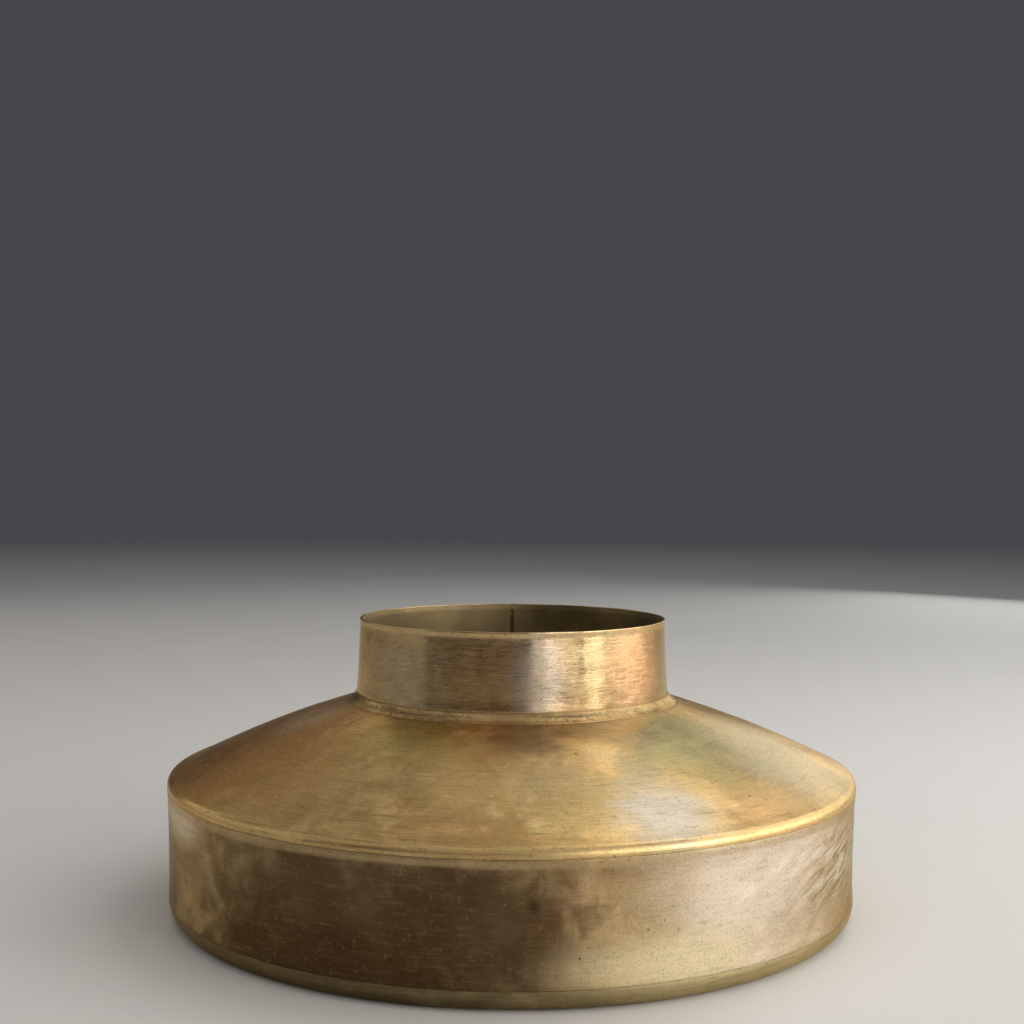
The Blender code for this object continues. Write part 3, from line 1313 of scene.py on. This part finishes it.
@dataclass
class Drum:
    """The rolled drum wall and its back seam."""

    sizes: PotSizes
    closeness: float = 0.00022  # how far the wall reaches into the gap at either end
    spacing: float = 0.0014
    segments: int = 720
    finish: AgedBrass = AgedBrass(
        name="wall_brass",
        bright=(0.62, 0.45, 0.23),
        warm=(0.40, 0.26, 0.12),
        olive=(0.32, 0.25, 0.115),
        rust=(0.36, 0.195, 0.085),
        dark=TARNISH,
        roughness=0.30,
        olive_share=0.3,
        rust_share=0.3,
        scratch=0.55,
        coat=0.05,
        seed=2.9,
        edge=(0.80, 0.69, 0.52),
        worn=(Line(0.1050, 0.0042, 0.55),),
        grime=(Line(0.1052, 0.0004, 0.1), Line(0.1547, 0.0004, 0.2)),
        tarnish_and_painted_light=(
            # The dark clouds at -82, -27, -2 and -24 degrees are partly tarnish and partly painted
            # shade: the dark surroundings that the front and left of the wall reflect.
            Patch(-82.0, 0.165, 0.024, 0.072, (0.10, 0.074, 0.048), 0.9),
            Patch(-27.0, 0.165, 0.030, 0.095, (0.080, 0.047, 0.022), 0.88),
            Patch(-2.0, 0.165, 0.032, 0.050, (0.095, 0.053, 0.023), 0.85),
            Patch(-56.0, 0.165, 0.034, 0.024, (0.30, 0.225, 0.14), 0.55, 1.6),
            Patch(-24.0, 0.165, 0.014, 0.100, (0.075, 0.038, 0.013), 0.85, 3.5),
            # Painted highlight: a cream reflection at the top of the wall on the left.
            Patch(-64.0, 0.165, 0.055, 0.036, (1.0, 0.88, 0.70), 0.8, 2.4),
            Patch(3.0, 0.165, 0.042, 0.0034, (0.06, 0.035, 0.02), 0.8),
            Patch(39.0, 0.165, 0.0125, 0.0034, (0.08, 0.055, 0.03), 0.75),
            # Painted reflections: the next five pale clouds stand for the bright lights on the right,
            # the last two low along the foot.
            Patch(39.0, 0.165, 0.038, 0.066, (0.95, 0.80, 0.64), 0.85),
            Patch(52.0, 0.165, 0.051, 0.044, (1.0, 0.84, 0.68), 0.85, 2.4),
            Patch(66.0, 0.165, 0.038, 0.034, (0.56, 0.46, 0.36), 0.7, 1.4),
            Patch(23.0, 0.165, 0.016, 0.060, (0.92, 0.78, 0.46), 0.7, 3.5),
            Patch(52.0, 0.165, 0.018, 0.045, (0.72, 0.57, 0.38), 0.6, 2.5),
            Patch(175.0, 0.165, 0.030, 0.070, (0.36, 0.24, 0.12), 0.5),
        ),
        # Painted glints and painted shade: pale and darker slanting lines on the right stand for light
        # caught by the rippled sheet.
        ripple_glints=(Patch(60.0, 0.165, 0.040, 0.046, (1.0, 0.92, 0.78), 0.8, 2.0),),
    )

    def build(self) -> None:
        """Builds and dresses the wall."""
        s = self.sizes
        head, foot = s.wall_head_z + self.closeness, s.wall_foot_z - self.closeness
        outline = [(s.wall_radius(head), head), (s.wall_radius(foot), foot)]
        section = sheet_section(outline, s.sheet, SEAM_EASE, self.spacing)
        runs = (s.drum_radius - head, s.drum_foot_radius - foot)
        front_right = (math.radians(-25.0), math.radians(38.0))
        reliefs = (
            Relief(0.00055, 0.060, 3.0, INWARD, runs, 0.010),
            Relief(0.00012, 0.015, 8.0, INWARD, runs),
            Relief(0.00070, 0.012, 5.5, INWARD, runs, 0.006, 2.6, 16.0, *front_right),
            Dent(math.radians(-87.0), 0.123, 0.003, 0.00025, INWARD),
            Dent(math.radians(-84.0), 0.134, 0.004, 0.00022, INWARD),
            Dent(math.radians(-52.0), 0.148, 0.007, 0.00025, INWARD),
            Dent(math.radians(120.0), 0.130, 0.012, 0.00040, INWARD),
        )
        gap = s.seam_width / s.drum_radius
        wall = TurnedPiece(
            "drum_wall_band", "drum_wall", "wall_brass", section, reliefs, self.segments, gap
        )
        wall.build(self.finish.make(), INSIDE.make())
        back_seam("wall_seam_filler", "wall_seam_braze", wall, runs, FILLER.make())


@dataclass
class Base:
    """The dished base: spigot, rounded corner, standing ring and raised middle."""

    sizes: PotSizes
    spacing: float = 0.0022
    finish: AgedBrass = AgedBrass(
        name="base_brass",
        bright=(0.48, 0.37, 0.19),
        warm=(0.28, 0.21, 0.10),
        olive=(0.20, 0.185, 0.085),
        rust=(0.22, 0.14, 0.065),
        dark=TARNISH,
        roughness=0.38,
        olive_share=0.6,
        rust_share=0.35,
        seed=4.3,
        worn=(Line(0.1560, 0.0035, 0.20),),
        grime=(Line(0.1549, 0.0003, 0.2), Line(0.1450, 0.0050, 0.6)),
        tarnish_and_painted_light=(
            # Partly tarnish and partly painted shade: darker at the front and left.
            Patch(-38.0, 0.162, 0.004, 0.150, (0.085, 0.058, 0.025), 0.9),
            # Painted reflection: paler on the right.
            Patch(36.0, 0.162, 0.006, 0.080, (0.62, 0.52, 0.28), 0.7),
        ),
    )

    def _outline(self) -> list[Point]:
        """Outer side: spigot, ledge, corner, standing ring and the raised middle.

        Returns:
            Its points, from the spigot down and then inwards.
        """
        s = self.sizes
        ledge_z = s.wall_foot_z - s.fit_gap
        corner = (s.drum_foot_radius - s.corner_radius, s.corner_radius)
        ring = corner[0] - s.ring_width
        half_way = (ring - s.push_up_run / 2, s.push_up / 2)
        rise = curve_through((ring, 0.0), (ring - s.push_up_run / 4, 0.0), half_way, 6)
        level_off = (ring - s.push_up_run * 3 / 4, s.push_up)
        crest = curve_through(half_way, level_off, (ring - s.push_up_run, s.push_up), 6)
        return [
            (s.spigot_radius(s.lower_spigot_end), s.lower_spigot_end),
            (s.spigot_radius(ledge_z), ledge_z),
            (s.drum_foot_radius, ledge_z),
            *arc(corner, s.corner_radius, 0, -90, 16),
            (ring, 0.0),
            *rise[1:],
            *crest[1:],
            (0.0, s.push_up),
        ]

    def build(self) -> None:
        """Builds and dresses the base."""
        s = self.sizes
        section = sheet_section(self._outline(), s.sheet, SEAM_EASE, self.spacing)
        reliefs = (
            Relief(0.00030, 0.050, 2.5, UPWARD, (-0.2, 0.135), 0.012),
            Relief(0.00010, 0.014, 6.5, UPWARD, (-0.2, 0.135), 0.012),
        )
        pan = TurnedPiece(
            "base_dished_pan", "base_pan", "base_brass", section, reliefs, SMALL_SEGMENTS
        )
        pan.build(self.finish.make(), INSIDE.make())
        lap_braze("lower_lap_fillet", "base_braze", s.lower_spigot_end, 1, s)


def lap_braze(name: str, node: str, end_z: float, direction: int, sizes: PotSizes) -> None:
    """Builds the fillet that closes a spigot's free end against the drum wall.

    Args:
        name: The piece's name.
        node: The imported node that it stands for.
        end_z: Height of the spigot's free end.
        direction: -1 where the fillet hangs below the spigot, 1 where it stands above.
        sizes: The pot's sizes.
    """
    depth, reach = 0.0009, 0.0022
    near, far = end_z + direction * LAP, end_z + direction * (reach + sizes.fit_gap)
    wall = sizes.wall_radius(near) - sizes.sheet
    pull = (wall - depth / 3, near + direction * reach / 3)
    face = curve_through((wall - depth, near), pull, (wall - LAP, far), 8)
    points = [*face, (wall, far), (wall, near)]
    section = densified(eased([Corner(r, z) for r, z in points], SEAM_EASE), FILLET_SPACING)
    runs = sorted((wall - near, wall - far))
    reliefs = (Relief(0.0002, 0.006, 3.3, INWARD, (runs[0] - 0.002, runs[1] + 0.002), 0.001),)
    filler = FILLER.make()
    piece = TurnedPiece(name, node, "brazing_filler", section, reliefs, SMALL_SEGMENTS)
    piece.build(filler, filler)


# ---------------------------------------------------------------------------
# The studio
# ---------------------------------------------------------------------------


AIM = (0.0, 0.0, 0.06)  # where the lights point: the middle of the pot


@dataclass(frozen=True)
class SoftBox:
    """A rectangular soft light on a stand, aimed at the pot.

    Its direction around the pot counts degrees from the front towards +X.
    """

    name: str
    around: float
    distance: float
    height: float
    width: float
    tall: float
    brightness: float
    tint: Colour = (1.0, 1.0, 1.0)

    def build(self) -> bpy.types.Object:
        """Makes the light, out of sight of the camera itself.

        Returns:
            The light.
        """
        data = bpy.data.lights.new(self.name, "AREA")
        data.shape = "RECTANGLE"
        data.size, data.size_y = self.width, self.tall
        data.energy, data.color = math.pi * self.width * self.tall * self.brightness, self.tint
        light = bpy.data.objects.new(self.name, data)
        angle = math.radians(self.around)
        away = self.distance
        light.location = (away * math.sin(angle), -away * math.cos(angle), self.height)
        aim = Vector(AIM) - light.location
        light.rotation_euler = aim.to_track_quat("-Z", "Y").to_euler()
        light.visible_camera = False
        bpy.context.scene.collection.objects.link(light)
        return light


@dataclass
class Studio:
    """A pale floor, soft lights and the camera."""

    floor_half: float = 4.0
    floor_colour: Colour = (0.74, 0.73, 0.71)
    air: Colour = (0.062, 0.064, 0.076)
    camera_away: float = 4.39  # in drum radii, from the pot's axis
    camera_up: float = 1.2455  # in drum radii, above the floor
    camera_tilt: float = 1.34  # in degrees, as the roll
    camera_roll: float = 0.31
    camera_aside: float = -0.0005
    lens: float = 52.03  # in millimetres, as the sensor
    sensor: float = 36.0
    lights: tuple[SoftBox, ...] = (
        SoftBox("window", 61.0, 1.50, 0.41, 0.46, 0.68, 5.0, (0.98, 1.0, 1.0)),
        SoftBox("front_right", 37.0, 1.50, 0.41, 0.64, 0.64, 2.8, (1.0, 0.98, 0.96)),
        SoftBox("front", 20.0, 1.52, 0.41, 0.38, 0.64, 1.35, (1.0, 0.97, 0.90)),
        SoftBox("right", 90.0, 1.50, 0.41, 1.05, 0.64, 3.1, (1.0, 0.95, 0.89)),
        SoftBox("back_right", 136.0, 1.80, 0.50, 1.80, 0.85, 1.25, (1.0, 1.0, 0.97)),
        SoftBox("high_right", 108.0, 0.90, 0.79, 1.02, 0.55, 1.5, (1.0, 0.99, 0.97)),
        SoftBox("overhead", 120.0, 0.42, 0.96, 0.62, 0.50, 1.35, (1.0, 0.98, 0.96)),
        SoftBox("overhead_front", 0.0, 0.20, 1.10, 0.90, 0.90, 0.54, (1.0, 0.95, 0.86)),
        SoftBox("high_front", -12.0, 1.30, 1.05, 1.30, 1.15, 0.46, (1.0, 0.93, 0.82)),
        SoftBox("high_front_right", 54.0, 1.20, 1.02, 1.10, 0.72, 1.1, (1.0, 0.96, 0.90)),
        SoftBox("high_left", -72.0, 1.20, 1.00, 1.40, 0.95, 0.42, (1.0, 0.93, 0.82)),
        SoftBox("high_back", -178.0, 1.60, 2.60, 3.4, 2.4, 0.45, (1.0, 0.98, 0.95)),
        SoftBox("left", -96.0, 1.50, 0.41, 2.00, 0.66, 0.40, (1.0, 0.92, 0.80)),
        SoftBox("back_left", -150.0, 1.60, 1.00, 1.8, 0.92, 0.26, (1.0, 0.93, 0.80)),
        SoftBox("left_rim", -122.0, 1.20, 0.62, 0.14, 0.40, 0.9, (1.0, 0.98, 0.94)),
    )

    def _floor(self) -> bpy.types.Object:
        """A pale floor with a faint mottle.

        Returns:
            The floor.
        """
        mesh = bpy.data.meshes.new("studio_floor")
        build = bmesh.new()
        bmesh.ops.create_grid(build, x_segments=8, y_segments=8, size=self.floor_half)
        build.to_mesh(mesh)
        build.free()
        floor = bpy.data.objects.new("studio_floor", mesh)
        bpy.context.scene.collection.objects.link(floor)
        g = Graph("studio_floor")
        place = g.place()
        mottle = g.noise(place, 9.0, 3.0, 0.6)
        darker = tuple(channel * 0.96 for channel in self.floor_colour)
        colour = g.mix(self.floor_colour, darker, mottle)
        g.finish(Base_Color=colour, Roughness=0.75, Specular_IOR_Level=0.2)
        mesh.materials.append(g.material)
        return floor

    def _camera(self, radius: float) -> bpy.types.Object:
        """The camera, level but for a slight tilt and roll.

        Args:
            radius: Drum radius of the pot.

        Returns:
            The camera.
        """
        data = bpy.data.cameras.new("camera")
        data.sensor_width, data.lens = self.sensor, self.lens
        data.clip_start, data.clip_end = 0.01, 50.0
        camera = bpy.data.objects.new("camera", data)
        tilt = Euler((math.radians(90.0 - self.camera_tilt), 0.0, 0.0)).to_matrix().to_4x4()
        roll = Matrix.Rotation(math.radians(self.camera_roll), 4, "Z")
        place = (self.camera_aside, -self.camera_away * radius, self.camera_up * radius)
        camera.matrix_world = Matrix.Translation(place) @ tilt @ roll
        bpy.context.scene.collection.objects.link(camera)
        return camera

    def build(self, radius: float) -> None:
        """Sets the studio up around the pot.

        Args:
            radius: Drum radius of the pot.
        """
        world = bpy.data.worlds.new("studio_air")
        world.use_nodes = True
        world.node_tree.nodes["Background"].inputs["Color"].default_value = (*self.air, 1.0)
        bpy.context.scene.world = world
        self._floor()
        for light in self.lights:
            light.build()
        bpy.context.scene.camera = self._camera(radius)
        bpy.context.scene.view_settings.view_transform = "Standard"
        LOG.info("studio: %d lights", len(self.lights))


def main() -> None:
    """Builds the pot and the studio."""
    logging.basicConfig(level=logging.INFO, format="%(name)s: %(message)s")
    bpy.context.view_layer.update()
    Neck(SIZES).build()
    Shoulder(SIZES).build()
    Drum(SIZES).build()
    Base(SIZES).build()
    Studio().build(SIZES.drum_radius)


if __name__ == "__main__":
    main()
